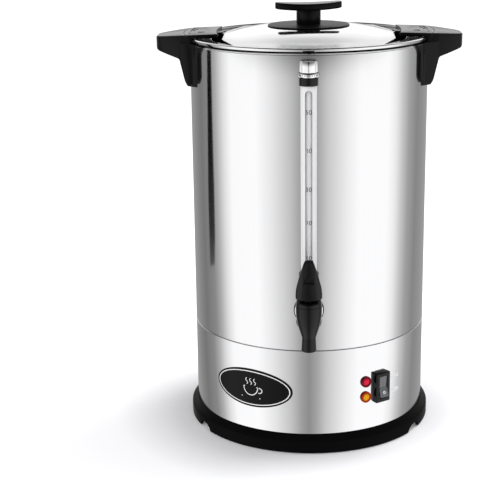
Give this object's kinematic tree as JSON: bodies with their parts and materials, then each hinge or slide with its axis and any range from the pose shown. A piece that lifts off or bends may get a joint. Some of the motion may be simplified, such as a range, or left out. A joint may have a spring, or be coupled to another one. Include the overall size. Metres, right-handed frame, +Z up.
{
  "type": "coffee urn",
  "caption": "Polished steel coffee urn: tank with inner percolator and basket, twist-off lid, side handles, sight gauge, spring tap, switch and pilot lamps on a black base.",
  "frame": {"origin": "on the tank's upright axis, in the plane that the rubber feet stand on", "axes": "+Z up; the tap and gauge face -Y; +X is to the right seen from the front"},
  "size_m": [0.282, 0.2688, 0.3992],
  "materials": {
    "polished_stainless": "polished stainless sheet with a fine vertical grain",
    "zinc_steel": "zinc-plated or plain stainless fasteners and brackets",
    "black_moulding": "satin black heat-resistant moulding",
    "black_gloss": "glossy black moulding",
    "foot_rubber": "black rubber",
    "silicone": "pale food-grade silicone",
    "ceramic": "white glazed ceramic",
    "aluminium": "spun and pressed aluminium",
    "clear_glass": "clear glass tube",
    "white_plastic": "glossy white moulding and white print",
    "dark_print": "dark grey print",
    "chrome_plate": "bright chrome plate",
    "red_lens": "clear red lamp lens",
    "amber_lens": "clear amber lamp lens",
    "smoke_plastic": "smoky translucent rocker",
    "wire_insulation": "heat-resistant wire sleeving",
    "brass": "brass inlet pins"
  },
  "bodies": {
    "urn": {"badge_plate": "black_gloss", "base_ring": "black_moulding", "base_screws": "zinc_steel", "bottom_plate": "zinc_steel", "brew_thermostat": "black_moulding", "clamp_nuts": "zinc_steel", "clamp_studs": "zinc_steel", "dry_boil_cutout": "black_moulding", "gauge_bracket_nut": "zinc_steel", "gauge_cap": "chrome_plate", "gauge_glass": "clear_glass", "gauge_lower_collar": "black_gloss", "gauge_seals": "silicone", "gauge_shield": "white_plastic", "gauge_top_bracket": "black_gloss", "handle_left": "black_moulding", "handle_right": "black_moulding", "handle_screws": "zinc_steel", "handle_washers": "silicone", "heater_clamp": "zinc_steel", "inlet_nuts": "zinc_steel", "inlet_pins": "brass", "inlet_screws": "zinc_steel", "inside_wires": "wire_insulation", "keep_warm_element": "aluminium", "lamp_amber": "amber_lens", "lamp_bezels": "black_gloss", "lamp_red": "red_lens", "lower_band": "polished_stainless", "power_inlet": "black_moulding", "pump_heater": "aluminium", "rubber_feet": "foot_rubber", "switch_frame": "black_gloss", "tank": "polished_stainless", "tap_body": "black_gloss", "tap_bonnet": "black_gloss", "tap_inner_washer": "silicone", "tap_outer_washer": "silicone", "tap_shank": "chrome_plate", "tap_shank_nut": "black_gloss", "terminal_block": "ceramic", "thermal_fuse": "zinc_steel", "tie_nuts": "zinc_steel", "tie_studs": "zinc_steel"},
    "lid_seal_ring": {"lid_seal": "silicone"},
    "lid": {"lid_shell": "polished_stainless", "knob_disc": "black_moulding", "knob_stem": "black_moulding", "knob_bar": "black_moulding", "knob_screw": "zinc_steel"},
    "valve": {"valve_stem": "zinc_steel", "valve_seat_cup": "silicone", "tap_spring": "zinc_steel", "lever_pin": "zinc_steel"},
    "lever": {"tap_lever": "black_gloss"},
    "rocker": {"switch_rocker": "smoke_plastic"},
    "percolator": {"percolator_tube": "aluminium", "percolator_foot": "aluminium"},
    "basket": {"coffee_basket": "aluminium"},
    "cover": {"basket_cover": "aluminium"}
  },
  "joints": [
    {"name": "lid_twist", "type": "hinge", "parent": "urn", "child": "lid_seal_ring", "pos_m": [0, 0, 0.367], "axis": [0, 0, 1], "range_deg": [0, 30]},
    {"name": "lid_lift", "type": "slide", "parent": "lid_seal_ring", "child": "lid", "axis": [0, 0, 1], "range_m": [0, 0.1]},
    {"name": "valve_lift", "type": "slide", "parent": "urn", "child": "valve", "axis": [0, 0, 1], "range_m": [0, 0.0032], "stiffness_N_per_m": 40, "springref_m": -0.01, "deforming": ["tap_spring"]},
    {"name": "lever_tilt", "type": "hinge", "parent": "valve", "child": "lever", "pos_m": [0, -0.141, 0.1615], "axis": [1, 0, 0], "range_deg": [0, 35]},
    {"name": "rocker_tilt", "type": "hinge", "parent": "urn", "child": "rocker", "pos_m": [0.06588, -0.08871, 0.0563], "axis": [0.8028, 0.5962, 0], "range_deg": [0, 18]},
    {"name": "percolator_lift", "type": "slide", "parent": "urn", "child": "percolator", "axis": [0, 0, 1], "range_m": [0, 0.008]},
    {"name": "basket_lift", "type": "slide", "parent": "percolator", "child": "basket", "axis": [0, 0, 1], "range_m": [0, 0.006]},
    {"name": "cover_lift", "type": "slide", "parent": "basket", "child": "cover", "axis": [0, 0, 1], "range_m": [0, 0.006]}
  ],
  "couplings": [
    {"joint": "lever_tilt", "follows": "valve_lift", "rad_per_m": 190.89}
  ]
}
